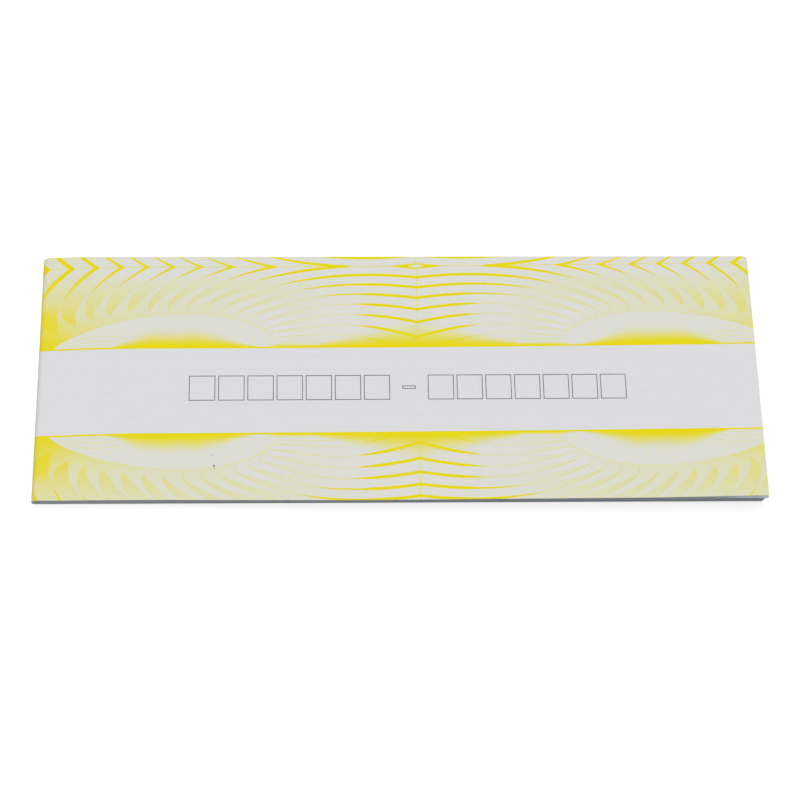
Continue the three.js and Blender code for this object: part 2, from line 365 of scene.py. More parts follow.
def through(i, u, v):
    """Under 1 inside curve i and over 1 outside it, and how far up the curve the point is.

    On the seam's side of its middle a curve dips; under its hook it tucks back along the lens.
    """
    reach, hook, top, middle, square, point = curve_shape(i)
    dip = (1 + 0.25 * np.exp(0.58 * (i - 11))) * (np.maximum(middle - u, 0) / middle) ** 1.8
    climb = (v + dip - hook) / np.maximum(top - hook, 0.5)
    rim = np.where(u < LENS_MIDDLE, np.minimum(hook, lens_top(u) + 2.6), hook)
    under_hook = rim - v
    tuck = 10 * (np.maximum(under_hook, 0) / (2.8 + 6.1 * np.exp((3 - i) / 2.2))) ** 4
    across = np.maximum(u + tuck - middle, 0) / (reach - middle)
    return across**square + np.maximum(climb, 0) ** point, climb


def curve_number(u, v, tries=440):
    """The number, whole or not, of the curve through each point."""
    found = np.full(u.shape, LAST_CURVE)
    step = (LAST_CURVE - FIRST_CURVE) / tries
    previous = through(FIRST_CURVE, u, v)[0]
    open_points = previous < 1
    found[~open_points] = FIRST_CURVE
    for i in np.arange(FIRST_CURVE + step, LAST_CURVE + step / 2, step):
        value = through(i, u, v)[0]
        crossed = open_points & (value >= 1)
        found[crossed] = i - step * (value[crossed] - 1) / (value[crossed] - previous[crossed])
        open_points &= ~crossed
        previous = value
    return found


sample = curve_number(np.array([114.0, 0.0]), np.array([34.5, 26.0]))
print("curve numbers near a chevron tip and on the seam:", np.round(sample, 2))

# %% [markdown]
# Along each line the ink swells: widest where it meets the hairline or the seam, and a bare hair further
# out. This and what follows is smooth over the page, so it is worked out at the vertices of the sheet, and
# the surface interpolates between them. Again the numbers are fitted constants.

# %% Pitch and weight of the lines
LEAST_PITCH, MOST_PITCH = 0.3, 12.0


def soft_step(value, low, high):
    t = np.clip((value - low) / (high - low), 0, 1)
    return t * t * (3 - 2 * t)


def line_pitch(number, u, v, step=0.01):
    """The millimetres from one line to the next, from how fast the law changes in each direction."""
    value = through(number, u, v)[0]
    by_number = (through(number + step, u, v)[0] - value) / step
    by_u = (through(number, u + step, v)[0] - value) / step
    by_v = (through(number, u, v + step)[0] - value) / step
    return np.clip(np.abs(by_number) / np.maximum(np.hypot(by_u, by_v), 1e-6), LEAST_PITCH, MOST_PITCH)


def line_width(number, u, climb):
    """The width of the lines in millimetres, and 0 where only a hair is left."""
    middle = curve_shape(number)[3]
    along = climb + np.maximum(middle - u, 0) / 40
    width = np.clip((along + 0.2 - 0.084 * number) / 0.25, 0, 1) ** 0.7
    width *= 1.2 + 0.28 * np.maximum(4 - number, 0)
    width *= np.maximum(soft_step(number, 10.3, 10.7), soft_step(u, 25, 30))
    width *= 1 - 0.35 * soft_step(number, 16.4, 16.6) - 0.65 * soft_step(number, 17.4, 17.6)
    return width


print("widths at the top of curves 1 to 5:", np.round(line_width(np.arange(1.0, 6.0), 100.0, 1.0), 2), "mm")

# %% [markdown]
# Under each line hangs a tinted crescent, pointed in the line's hook and widening up the line until it fills
# the way to the next one, where it has faded.

# %% Crescents and their tints
def crescent_share(number, u, climb):
    """How much of the way to the next line its crescent fills, from 0 at the tip to 1."""
    band = number - 0.5
    pointed_at = 0.033 * np.minimum(band - 7.5, 2.6) - 0.02 - 0.15 * np.maximum(3.6 - band, 0) ** 1.2
    opens_over = 0.37 + 0.055 * np.maximum(band - 4.5, 0) + 0.05 * np.maximum(2.8 - band, 0)
    bulge = 0.6 + 0.133 * np.clip(band - 5.8, 0, 3)
    cut_off = 0.12 * (u - 163.4 + 7.3 * number) + 9 * np.maximum(climb + 0.05, 0)
    return np.minimum(np.clip((climb - pointed_at) / opens_over, 0, 1) ** bulge, cut_off)


def tints(number, climb):
    """The tone inside the crescents and the tone between them."""
    fades_at = 0.38 + 0.67 * soft_step(number, 5, 13)
    inside = (0.34 - 0.17 * soft_step(number, 10, 15)) * np.clip(1 - climb / fades_at, 0, 1.1) + 0.035
    inside += np.minimum(1.6 * np.maximum(-climb, 0) * np.maximum(4.2 - number, 0), 0.2)
    between = (0.13 - 0.09 * soft_step(number, 10, 14)) * (1 - 0.55 * soft_step(climb, 0, 0.35))
    between += np.maximum(-climb, 0) * np.maximum(1.9 - 0.27 * number, 0)
    return inside, between


shares = crescent_share(5.5, 150.0, np.linspace(0, 0.4, 5))
print("share of the crescent up the band after curve 5:", np.round(shares, 2))

# %% [markdown]
# White lens shapes over the band cut off the curves, and each has a smaller bow at its outer end. With them
# the list of what the ink needs is complete.

# %% Lens shapes and all the fields
INNER_MIDDLE, INNER_HEIGHT = 131.5, 8.4
INNER_OUTER, INNER_INNER = 19.0, 21.5


def lens_depths(u, v):
    """How deep a point lies in the white lens, and in the smaller bow at its outer end."""
    depth = lens_top(u) - v
    off_middle = (u - INNER_MIDDLE) / np.where(u > INNER_MIDDLE, INNER_OUTER, INNER_INNER)
    bow = np.clip(1 - off_middle**2, 0, 1) ** 0.75
    return depth, np.minimum(INNER_HEIGHT * bow - 0.5 - v, depth)


def print_fields(page_x, page_y):
    """Everything that the cover's ink needs to know at points of the page."""
    u, v = fold(page_x, page_y)
    number = curve_number(u, v)
    climb = through(number, u, v)[1]
    inside, between = tints(number, climb)
    lens_depth, inner_depth = lens_depths(u, v)
    return {
        "print_u": u,
        "print_v": v,
        "print_number": number,
        "print_pitch": line_pitch(number, u, v),
        "print_weight": line_width(number, u, climb) / 2,
        "print_crescent": crescent_share(number, u, climb),
        "print_inside": inside,
        "print_between": between,
        "print_lens": lens_depth,
        "print_inner": inner_depth,
    }


sample = print_fields(np.array([SEAM - 114.0, SEAM]), np.array([47.0, 38.2]))
print("half widths near a chevron tip and on the seam:", np.round(sample["print_weight"], 2), "mm")

# %% [markdown]
# ## Ink from the law
#
# Now the vertex values become ink. A solid edge runs along the band, and short hairs rise from it. The white
# lens has faint lobes, and the bow at its end has arcs. The seam, the hairline and the wedge along it are
# lines that don't depend on curve numbers.

# %% Ink along the band and in the lens shapes
LOBE_PITCH, ARC_PITCH = 4.8, 2.1
COMB_PITCH, COMB_PATCH = 0.86, 0.8
SOLID_EDGE = 0.72
HAIR_HALF, HAIR_SOFTNESS, HAIR_TONE = 0.18, 0.08, 0.8


def kept(tree, name):
    """A value that the sheet's vertices carry."""
    node = tree.nodes.new("ShaderNodeAttribute")
    node.attribute_name = name
    return Tone(tree, node.outputs["Fac"])


def cloud_along(tree, value, size):
    """Noise about 0.5 that changes with one value only."""
    noise = tree.nodes.new("ShaderNodeTexNoise")
    noise.noise_dimensions = "1D"
    noise.inputs["Detail"].default_value = 1
    tree.links.new((value / size).socket, noise.inputs["W"])
    return Tone(tree, noise.outputs["Fac"])


def lens_tone(u, v, lens_depth, inner_depth):
    """Faint lobes across the white lens, and arcs in the bow at its outer end."""
    bend = (v - 9) / 5.5
    lobe = (u - (u - 66) * 0.14 * bend * bend) / LOBE_PITCH
    lobes = (lobe.nearest() * LOBE_PITCH).below(0.12, 0.1) * 0.07 + (1 - lobe.step("FRACT")) * 0.05
    white = inner_depth.ramp(-0.15, 0.15)
    arcs = (inner_depth / ARC_PITCH).nearest().below(0.06, 0.05) * 0.35
    return (lobes * lens_depth.below(10.0, 4.0) + 0.02) * (1 - white) + (arcs + 0.05) * white


def band_edge_tones(tree, x, u, v):
    """The short hairs that rise from the band under the lens, and the darker foot beside the seam."""
    comb = x.wave(COMB_PITCH) * 0.3 + cloud_along(tree, x, COMB_PATCH) * 0.9 - 0.6
    patch = u.ramp(64.0, 92.0) * (1 - u.ramp(108.0, 130.0))
    hairs = (1 - (v - 0.4 - patch * 0.8) / (patch * 8 + 0.6) * (1 - comb * 0.8)).most(0)
    hairs = hairs.step("POWER", 1.7) * u.ramp(58.0, 63.0) * (1 - u.ramp(124.0, 130.0))
    depth = (13 - u * 0.27).most(1.6) * (1 + comb * 0.5)
    foot = (1 - (v - 0.6).most(0) / depth).most(0).step("POWER", 1.5) * (1 - u.ramp(56.0, 66.0))
    return hairs, foot


def fixed_lines(u, v):
    """The seam, the hairline, the wedge along it and the band's edge, and the bare diamond in the wedge."""
    off_hairline = (v - TIP_HEIGHT).size()
    hair = off_hairline.below(HAIR_HALF, HAIR_SOFTNESS).most(u.below(HAIR_HALF, HAIR_SOFTNESS)) * HAIR_TONE
    wedge = (off_hairline * 9 + u).below(12.5, 1.0)
    diamond = (u / 3.2 + off_hairline / 0.75).below(1.0, 0.12)
    return hair.most(wedge).most(v.below(SOLID_EDGE, 0.12)), diamond


print("hairs rise from the band about every", COMB_PITCH, "mm")

# %% [markdown]
# A line is where the distance to the nearest whole number, times the local spacing, is less than the line's
# half width, so it keeps its width in millimetres wherever the curves crowd. A crescent is the first part of
# the way to the next curve, and a fine upright hatch lies over it, as an offset press would print it. Printed
# tone looks darker than its share of ink, because the dots of the screen spread in the paper, and one power
# at the end stands for that gain.

# %% The whole pattern's ink
HATCH = 0.48
SCREEN_GAIN = 2.2
THINNEST_HALF, LINE_SOFTNESS = 0.11, 0.07
CORNER_AT, CORNER_WIDE, CORNER_HIGH = 160, 20, 23


def pattern_ink(tree, x):
    """How much yellow there is at each point of the cover, from 0 to 1."""
    u, v, number, pitch, weight, crescent, inside, between, lens_depth, inner_depth = (
        kept(tree, "print_" + name)
        for name in "u v number pitch weight crescent inside between lens inner".split()
    )
    in_crescent = number.step("FRACT").below(crescent, 0.02)
    hatch = x.wave(HATCH) * 0.4 + 0.8
    to_end, up = (CORNER_AT - u) / CORNER_WIDE, v / CORNER_HIGH
    corner = 1 - (to_end * to_end + up * up).ramp(0.1, 1.0)
    tinted = (between + (inside - between) * in_crescent) * hatch + corner * 0.2
    lens = lens_depth.ramp(-0.12, 0.12)
    rim = lens_depth.size().below(0.07, 0.07) * 0.15
    tone = tinted * (1 - lens) + lens_tone(u, v, lens_depth, inner_depth) * lens + rim
    hairs, foot = band_edge_tones(tree, x, u, v)
    tone = tone.most(hairs).most(foot + tone * 0.25).least(1)

    line = (number.nearest() * pitch).below((weight + 0.03).most(THINNEST_HALF), LINE_SOFTNESS)
    line = line * (weight.ramp(0.0, 0.18) * 0.15 + 0.85) * (1 - lens)
    others, diamond = fixed_lines(u, v)
    ink = (1 - (1 - tone).step("POWER", SCREEN_GAIN)).most(line.most(others)) * (1 - diamond)
    return ink * v.ramp(-0.08, 0.08)


print("one hatch line in", HATCH, "mm")

# %% [markdown]
# In the plain band the printed sheet below shines through as the ghost of a ruled form. The band also holds
# two rows of blank boxes with a dash between them, for a slip number to be written in. Each is a distance
# in millimetres that is turned into ink where it is less than half a line.

# %% Ruled form and blank number boxes
FORM_COLUMNS = (-124.3, 32.2, 64.0, 86.8, 126.7)
FORM_TOP, FORM_FOOT, FORM_ROW, FORM_HEAD = 2.5, -42.7, 5.03, 5.5
WRITING_LINES = ((40.0, -124.3, -20.0), (32.0, -124.3, -20.0), (40.0, 40.0, 126.7), (15.0, -60.0, 62.0))
BOX_SIDE = 11.9
BOXES_EACH = 7
BOX_START, BOX_END, BOX_FOOT = -87.4, 93.6, -11.6
BOX_GAP, BOX_LINE = 0.75, 0.34
DASH_HALF_LENGTH, DASH_HALF_HEIGHT = 2.6, 0.55
SPECKS = ((-76.9, -34.3, 0.2), (-76.1, -38.6, 0.4), (-75.8, -39.6, 0.2))
PRINT_SOFTNESS = 0.05


def within(value, low, high, soft=PRINT_SOFTNESS):
    return value.ramp(low - soft, low + soft) * (1 - value.ramp(high - soft, high + soft))


def rule(off_line, half):
    """1 on a line of this half width, from the distance to its middle."""
    return off_line.size().below(half, PRINT_SOFTNESS)


def form_lines(x, y, half=0.11):
    """The lines of a ruled form: a table with five rules down, and writing lines over it."""
    across_table = within(x, FORM_COLUMNS[0], FORM_COLUMNS[-1])
    in_table = across_table * within(y, FORM_FOOT, FORM_TOP + 0.1)
    lines = rule(((y - FORM_TOP) / FORM_ROW).nearest() * FORM_ROW, half) * in_table
    for column in FORM_COLUMNS:
        lines = lines.most(rule(x - column, half) * in_table)
    for height, start, end in WRITING_LINES:
        lines = lines.most(rule(y - height, half) * within(x, start, end))
    return lines.most(rule(y - FORM_TOP - FORM_HEAD, half) * across_table)


def number_boxes(x, y):
    """Outlines of two rows of separate boxes with a dash between them."""
    off_middle = (y - (BOX_FOOT + BOX_SIDE / 2)).size()
    half_box = BOX_SIDE / 2 - BOX_GAP
    dash_x = (x - (BOX_START + BOX_END) / 2).size() - DASH_HALF_LENGTH
    inked = rule(dash_x.most(off_middle - DASH_HALF_HEIGHT), BOX_LINE / 2)
    for start in (BOX_START, BOX_END - BOXES_EACH * BOX_SIDE):
        row = (x - start) / BOX_SIDE
        off_x = (row.step("FRACT") - 0.5).size() * BOX_SIDE - half_box
        in_row = within(x, start, start + BOXES_EACH * BOX_SIDE)
        inked = inked.most(rule(off_x.most(off_middle - half_box), BOX_LINE / 2) * in_row)
    return inked


def specks(x, y):
    """Three stray dots of dark ink."""
    dots = None
    for across, up, wide in SPECKS:
        dot = ((x - across) * (x - across) + (y - up) * (y - up)).below(wide * wide, 0.06)
        dots = dot if dots is None else dots.most(dot)
    return dots


print("boxes:", 2 * BOXES_EACH, "of", BOX_SIDE, "mm, form rows of", FORM_ROW, "mm")

# %% [markdown]
# ## The materials
#
# Cover stock is a little heavier and smoother than the leaves. Its ink lies in the paper rather than on it,
# so it only turns the colour. The leaves are plain white or pale blue, and their form is printed on the
# upper face, which the material tells from the lower one by the direction of the surface in the piece's own
# coordinates. Faint stripes from sheet to sheet show on their cut edges, more so towards the free end. They
# are partly a random tone and partly painted shade between the fanned sheets.

# %% Cover and leaf papers
GHOST_GREY = rgb(150, 150, 158)
INSIDE_WHITE = rgb(222, 222, 221)
# Partly the cream of the cover's cut paper, partly a painted highlight: as light as the bright line along the
# cover's cut edge.
CREAM_AND_HIGHLIGHT_EDGE = rgb(228, 226, 208)
LEAF_WHITE = rgb(226, 226, 227)
GHOST_HALF, GHOST_TONE = 0.3, 0.035
BOX_TONE = 0.85
# The darkest tone of the plain papers as a share of their colour, reached by their random mottle and by the
# painted shade on the leaves.
MOTTLE_AND_SHADE_TONE = 0.62


def cover_material():
    material, tree, shader = start_material("cover_print")
    place, x, y = page_place(tree)
    fibres(tree, shader, place, 0.02)
    shade = cloud(tree, place, 22, 3) * 0.035 + cloud(tree, place, 0.8, 2) * 0.03
    ghost = form_lines(x, y, GHOST_HALF) * GHOST_TONE * (1 - kept(tree, "print_v").ramp(-0.3, 0.0))
    ground = tint(tree, (shade + ghost).least(1), PAPER, GHOST_GREY)
    ink = pattern_ink(tree, x)
    inked = tint(tree, ink, ground, tint(tree, ink, PALE_YELLOW, YELLOW))
    marks = number_boxes(x, y).most(specks(x, y)) * BOX_TONE
    tree.links.new(tint(tree, marks, inked, BOX_INK), shader.inputs["Base Color"])
    shader.inputs["Roughness"].default_value = 0.62
    shader.inputs["Specular IOR Level"].default_value = 0.1
    return material


def plain_paper(name, colour, printed=0.0, edge_stripes_and_shade=0.0):
    """Uncoated paper, with the ruled form on the upper face where printed is over 0."""
    material, tree, shader = start_material(name)
    place, x, y = page_place(tree)
    fibres(tree, shader, place, 0.015)
    shade = cloud(tree, place, 30, 3) * 0.05 + cloud(tree, place, 0.9, 2) * 0.04
    # Faint stripes from sheet to sheet, partly a random tone and partly painted shade between the fanned
    # sheets, darker towards the free end.
    stripes_and_gap_shade = cloud(tree, place, 3.0, 1, (0.02, 0.02, 34)) * (x.ramp(-150.0, 90.0) * edge_stripes_and_shade)
    ground = tint(tree, (shade + stripes_and_gap_shade).least(1), colour, tuple(c * MOTTLE_AND_SHADE_TONE for c in colour))
    if printed:
        facing = tree.nodes.new("ShaderNodeTexCoord")
        split = tree.nodes.new("ShaderNodeSeparateXYZ")
        tree.links.new(facing.outputs["Normal"], split.inputs[0])
        upper = Tone(tree, split.outputs[2]).ramp(0.5, 0.8)
        ground = tint(tree, form_lines(x, y) * printed * upper, ground, LINE_GREY)
    tree.links.new(ground, shader.inputs["Base Color"])
    shader.inputs["Roughness"].default_value = 0.72
    shader.inputs["Specular IOR Level"].default_value = 0.25
    return material


COVER_PRINT = cover_material()
COVER_INSIDE = plain_paper("cover_inside", INSIDE_WHITE)
COVER_EDGE_AND_HIGHLIGHT = plain_paper("cover_cut_edge_and_highlight", CREAM_AND_HIGHLIGHT_EDGE)
WHITE_LEAF = plain_paper("white_leaf", LEAF_WHITE, printed=0.75, edge_stripes_and_shade=0.25)
BLUE_LEAF = plain_paper("blue_leaf", BLUE, printed=0.55, edge_stripes_and_shade=0.25)
print("nodes in the cover's material:", len(COVER_PRINT.node_tree.nodes))

# %% [markdown]
# Set glue is amber and uneven, so noise moves both its colour and its gloss. The staples are drawn steel
# wire, and noise that is stretched along the wire gives its fine streaks.

# %% Glue and wire
PALE_AMBER, DEEP_AMBER = rgb(226, 219, 196), rgb(200, 190, 160)
BRIGHT_STEEL, DULL_STEEL = rgb(196, 198, 202), rgb(150, 152, 158)


def glue_material():
    material, tree, shader = start_material("binding_glue")
    lumps = cloud(tree, page_place(tree)[0], 2.5, 3)
    tree.links.new(tint(tree, lumps, PALE_AMBER, DEEP_AMBER), shader.inputs["Base Color"])
    tree.links.new((lumps * 0.3 + 0.25).socket, shader.inputs["Roughness"])
    return material


def wire_material():
    material, tree, shader = start_material("staple_wire")
    drawn = cloud(tree, page_place(tree)[0], 0.25, 3, (1, 0.1, 1))
    tree.links.new(tint(tree, drawn, BRIGHT_STEEL, DULL_STEEL), shader.inputs["Base Color"])
    tree.links.new((drawn * 0.25 + 0.22).socket, shader.inputs["Roughness"])
    shader.inputs["Metallic"].default_value = 1
    return material


GLUE = glue_material()
WIRE = wire_material()
print("new materials:", [m.name for m in bpy.data.materials if not m.users])

# %% [markdown]
# ## A sheet of paper as a piece
#
# Every paper part here is a thin sheet with a top, an underside and cut edges. A grid is made flat, its
# faces are extruded once to give the underside and the rim, and then each vertex goes to its place on the
# page by a rule: how far along the sheet, how far across, and on which side. The columns and rows needn't
# be even, so they can crowd where the sheet bends. A Solidify modifier could thicken a single surface too,
# but then the three kinds of face would be harder to tell apart for their materials.

# %% Build a sheet
def steps(*knots):
    """Positions from (end, count) pairs after a first start: steps(start, (end, count), ...)."""
    places = [knots[0]]
    for end, count in knots[1:]:
        places += list(np.linspace(places[-1], end, count + 1)[1:])
    return np.array(places)


def sheet_mesh(bm, columns, rows):
    """Adds a flat closed sheet to bm, a unit for each column and row, with its underside at z -1."""
    made = bmesh.ops.create_grid(bm, x_segments=len(columns) - 1, y_segments=len(rows) - 1, size=0.5)
    faces = list({face for vertex in made["verts"] for face in vertex.link_faces})
    grown = bmesh.ops.extrude_face_region(bm, geom=faces)
    under = [v for v in grown["geom"] if isinstance(v, bmesh.types.BMVert)]
    bmesh.ops.translate(bm, verts=under, vec=(0, 0, -1))
    both = made["verts"] + under
    bmesh.ops.scale(bm, verts=both, vec=(len(columns) - 1, len(rows) - 1, 1))
    bmesh.ops.translate(bm, verts=both, vec=((len(columns) - 1) / 2, (len(rows) - 1) / 2, 0))


print("steps from 0 by halves to 1 and then to 4:", steps(0, (1, 2), (4, 1)).tolist())

# %% [markdown]
# One piece can hold many such sheets, and each vertex has to know which sheet it is on and where. The flat
# grid keeps that: while x and y still count columns and rows, each vertex is looked up and laid on the page.

# %% Lay sheets on the page
def paper_piece(name, sheets, materials):
    """A piece of one or more sheets, each (columns, rows, place, slots).

    place(along, across, side) gives page millimetres, with side 0 on top and -1 underneath. slots are the
    places in materials of the top, the underside and the cut edge. Returns the piece and, for each sheet,
    how far along and across each of its vertices is.
    """
    bm = bmesh.new()
    counts = []
    for columns, rows, place, slots in sheets:
        first_face = len(bm.faces)
        sheet_mesh(bm, columns, rows)
        counts.append(len(bm.verts))
        bm.faces.ensure_lookup_table()
        for face in bm.faces[first_face:]:
            height = face.calc_center_median().z
            kind = 0 if height > -0.01 else (1 if height < -0.99 else 2)
            face.material_index = slots[kind]
            face.smooth = kind < 2
    for edge in bm.edges:
        edge.smooth = all(face.smooth for face in edge.link_faces)
    bmesh.ops.recalc_face_normals(bm, faces=bm.faces[:])
    mesh = bpy.data.meshes.new(name)
    bm.to_mesh(mesh)
    bm.free()
    grid = np.zeros(len(mesh.vertices) * 3, np.float32)
    mesh.vertices.foreach_get("co", grid)
    grid = grid.reshape(-1, 3)
    laid = []
    start = 0
    for (columns, rows, place, slots), end in zip(sheets, counts):
        own = grid[start:end]
        along = columns[np.rint(own[:, 0]).astype(int)]
        across = rows[np.rint(own[:, 1]).astype(int)]
        laid.append((along, across))
        grid[start:end] = np.stack(place(along, across, np.rint(own[:, 2])), 1) * MM
        start = end
    mesh.vertices.foreach_set("co", grid.ravel())
    for material in materials:
        mesh.materials.append(material)
    mesh.update()
    piece = bpy.data.objects.new(name, mesh)
    bpy.context.scene.collection.objects.link(piece)
    return piece, laid


# %% [markdown]
# ## The cover
#
# The real cover is one folded sheet of printed stock. It rises round the spine, lies glued on the binding,
# and opens at a crease. So the front, the glued strip and the spine are one sheet here too, with eight
# narrow columns at the crease. The back panel is the same sheet carried on under the book. First comes the
# line that the sheet follows, seen from the side.

# %% The line that the cover follows
SLOPE = (COVER_TOP - STRIP_TOP) / (RIGHT - CREASE)
SPINE_ARC = SPINE_RADIUS * math.pi / 2
SPINE_TURN = LEFT + SPINE_RADIUS
SPINE_FOOT = SPINE_TURN - SPINE_ARC - (STRIP_TOP - SPINE_RADIUS - FOOT_RADIUS)


def front_outline(along):
    """x, z and the upward direction of the cover's outer face, a length along it."""
    angle = np.clip((SPINE_TURN - along) / SPINE_RADIUS, 0, math.pi / 2)
    below = np.maximum(SPINE_TURN - SPINE_ARC - along, 0)
    rise = np.maximum(along - CREASE, 0) * SLOPE
    x = np.maximum(along, SPINE_TURN) - SPINE_RADIUS * np.sin(angle)
    z = STRIP_TOP - SPINE_RADIUS * (1 - np.cos(angle)) - below + rise
    tilt = np.where(along > CREASE, math.atan(SLOPE), angle)
    return x, z, -np.sin(tilt), np.cos(tilt)


print("the cover rises by", round(math.degrees(math.atan(SLOPE)), 2), "degrees past the crease")

# %% [markdown]
# This book doesn't lie quite square. The near edges of the cover and the top sheets stand out past the
# block, and the far edges are pulled in at the spine. The far corner there is knocked soft, as paper corners
# are, the near one is crumpled, and the far corner of the free end has a nick. All of these are small
# shifts of the flat sheet's points that fade out, so the sheet stays whole. A row and a column also follow
# the print's hairline and seam, so that those two sharp lines run along edges of faces.

# %% How the cover lies
EDGE_OUT, EDGE_OUT_START, EDGE_OUT_FULL = 0.8, -122, -10
EDGE_BACK, EDGE_BACK_START, FREE_CORNER = 0.55, 95, 146
PULL, PULL_START, PULL_LENGTH, PULL_ROW, PULL_ROWS = 0.4, -132, 12, 30, 22.5
WORN_CORNER, WORN_BACK, WORN_DOWN = 2.6, 0.8, 0.7
NICK_SIZE, NICK_DEPTH, NICK_DOWN = 1.8, 0.5, 0.4
CRUMPLE_SIZE, CRUMPLE_SWELL = 0.9, 5
HAIRLINE_FADES, SEAM_FADES = 12, 40


def stands_out(along, across):
    """How far the near edge of the cover and the top sheets stands out past the block."""
    by_column = soft_step(along, EDGE_OUT_START, EDGE_OUT_FULL)
    return EDGE_OUT * by_column * np.clip(-across / FAR, 0, 1) ** 2


def page_point(along, across):
    """Moves a column onto the print's seam and a row onto its hairline, and sets the near edge out."""
    by_row = np.interp(across, (HAIRLINE_FADES, HAIRLINE, FAR), (0, 1, 0))
    by_column = np.interp(along, (SEAM - SEAM_FADES, SEAM, SEAM + SEAM_FADES), (0, 1, 0))
    up = (hairline(along) - sag(along) - HAIRLINE) * by_row
    up -= stands_out(along, across) * (1 - EDGE_BACK * soft_step(along, EDGE_BACK_START, FREE_CORNER))
    return along + SHEAR * (across + up - UNSHEARED_ROW) * by_column, across + up


def pulled_in(along, across):
    """How far the far edge lies back at the spine."""
    by_column = np.clip((PULL_START - along) / PULL_LENGTH, 0, 1)
    return PULL * by_column * np.clip((across - PULL_ROW) / PULL_ROWS, 0, 1)


def worn_corner(along, across):
    """1 at the far corner of the spine, and 0 a little way off."""
    return np.clip(1 - np.hypot(along - SPINE_TURN + WORN_CORNER, across - FAR) / WORN_CORNER, 0, 1)


def front_place(along, across, side):
    along, across = page_point(along, across)
    x, z, out_x, out_z = front_outline(along)
    across = across - pulled_in(along, across)
    worn = worn_corner(along, across) ** 2
    nick = NICK_DEPTH * np.clip(1 - np.hypot(along - RIGHT, across - FAR) / NICK_SIZE, 0, 1) ** 1.5
    at_near_edge = np.clip((NEAR + CRUMPLE_SIZE - across) / CRUMPLE_SIZE, 0, 1)
    crumpled = CRUMPLE_SWELL * np.clip((SPINE_TURN - along) / SPINE_ARC, 0, 1) * at_near_edge
    return (
        x + out_x * side * COVER_THICKNESS * (1 + crumpled) - nick,
        across - worn * WORN_BACK - nick,
        z + out_z * side * COVER_THICKNESS - worn * WORN_DOWN - nick * NICK_DOWN,
    )


print("the near edge stands out by up to", EDGE_OUT, "mm")

# %% [markdown]
# The sheet is a grid of about a millimetre, because its vertices carry the print. The attributes are worked
# out at the page points that the vertices have been moved to, and so the print stays where it was drawn.

# %% Cover front, strip and spine
ROUND_SPINE = (SPINE_FOOT, (SPINE_TURN - SPINE_ARC, 2), (SPINE_TURN, 8))
cover_columns = steps(*ROUND_SPINE, (BEND_START, 7), (BEND_END, 8), (SEAM, 152), (RIGHT, 146))
cover_rows = steps(NEAR, (0.0, 54), (HAIRLINE, 56), (FAR, 6))
cover_front, laid = paper_piece(
    "cover_front_and_spine",
    [(cover_columns, cover_rows, front_place, (0, 1, 2))],
    (COVER_PRINT, COVER_INSIDE, COVER_EDGE_AND_HIGHLIGHT),
)
for name, values in print_fields(*page_point(*laid[0])).items():
    layer = cover_front.data.attributes.new(name, "FLOAT", "POINT")
    layer.data.foreach_set("value", np.asarray(values, np.float32))
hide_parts("front_cover", "wrap_cover")
height = STRIP_TOP * MM
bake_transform(cover_front)
print("cover:", len(cover_front.data.polygons), "faces")

# %% [markdown]
# The back panel carries on from the spine's foot. It turns under the book with a small round and runs flat
# to the free edge, plain on both sides.

# %% Cover back
FOOT_TURN = LEFT + FOOT_RADIUS
ROUND_FOOT = (FOOT_TURN - FOOT_RADIUS * math.pi / 2, (FOOT_TURN, 6))


def back_outline(along):
    """x, z and the turn of the outer face; along grows with x on the flat."""
    angle = np.clip((FOOT_TURN - along) / FOOT_RADIUS, 0, math.pi / 2)
    x = np.maximum(along, FOOT_TURN) - FOOT_RADIUS * np.sin(angle)
    return x, FOOT_RADIUS * (1 - np.cos(angle)), angle


def back_place(along, across, side):
    x, z, angle = back_outline(along)
    inward = (1 + side) * COVER_THICKNESS
    return x + np.sin(angle) * inward, across - pulled_in(along, across), z + np.cos(angle) * inward


cover_back, _ = paper_piece(
    "cover_back",
    [(steps(*ROUND_FOOT, (RIGHT, 60)), steps(NEAR, (FAR, 21)), back_place, (0, 0, 1))],
    (COVER_INSIDE, COVER_EDGE_AND_HIGHLIGHT),
)
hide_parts("wrap_cover")
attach(cover_back, "bound_book")
print("cover back:", len(cover_back.data.polygons), "faces")

# %% [markdown]
# ## The glue
#
# A thin film of set glue holds the sheet ends in the round of the spine. It is brushed on the block before
# the wrap goes round it, so it follows the wrap from the inside, in two sheets that meet at the spine's
# foot, and stops short of the crease.

# %% Film of glue
GLUE_END = -139.5
GLUE_GAP = 0.005
GLUE_FILM = BLOCK_INSET - COVER_THICKNESS - 2 * GLUE_GAP


def glue_round_spine(along, across, side):
    x, z, out_x, out_z = front_outline(along)
    depth = COVER_THICKNESS + GLUE_GAP - side * GLUE_FILM
    worn = WORN_BACK * worn_corner(along, across)
    return x - out_x * depth, across - pulled_in(along, across) - worn, z - out_z * depth - worn


def glue_on_back(along, across, side):
    x, z, angle = back_outline(along)
    depth = BLOCK_INSET - GLUE_GAP + side * GLUE_FILM
    return x + np.sin(angle) * depth, across - pulled_in(along, across), z + np.cos(angle) * depth


glue_rows = steps(NEAR, (45.0, 8), (FAR, 8))
glue, _ = paper_piece(
    "glue_film",
    [
        (steps(*ROUND_SPINE, (GLUE_END, 4)), glue_rows, glue_round_spine, (0, 0, 0)),
        (steps(*ROUND_FOOT, (GLUE_END, 3)), glue_rows, glue_on_back, (0, 0, 0)),
    ],
    (GLUE,),
)
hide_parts("spine_glue")
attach(glue, "bound_book")
print("glue:", len(glue.data.polygons), "faces")

# %% [markdown]
# ## The closed leaves
#
# Below the top five sets the book is a block of seventy sheets, clamped by the staples at the left and
# fanned open to the right, where air gets between the sets. One solid with a striped side would look right
# from afar only. Here each sheet is real: it lies flat in the binding, whose end follows the round of the
# spine, and rises evenly to its own height at the free edge. The cut edges differ by a tenth of a
# millimetre or so, as they do after a guillotine, and the fan has one shallow wave that all sheets share.

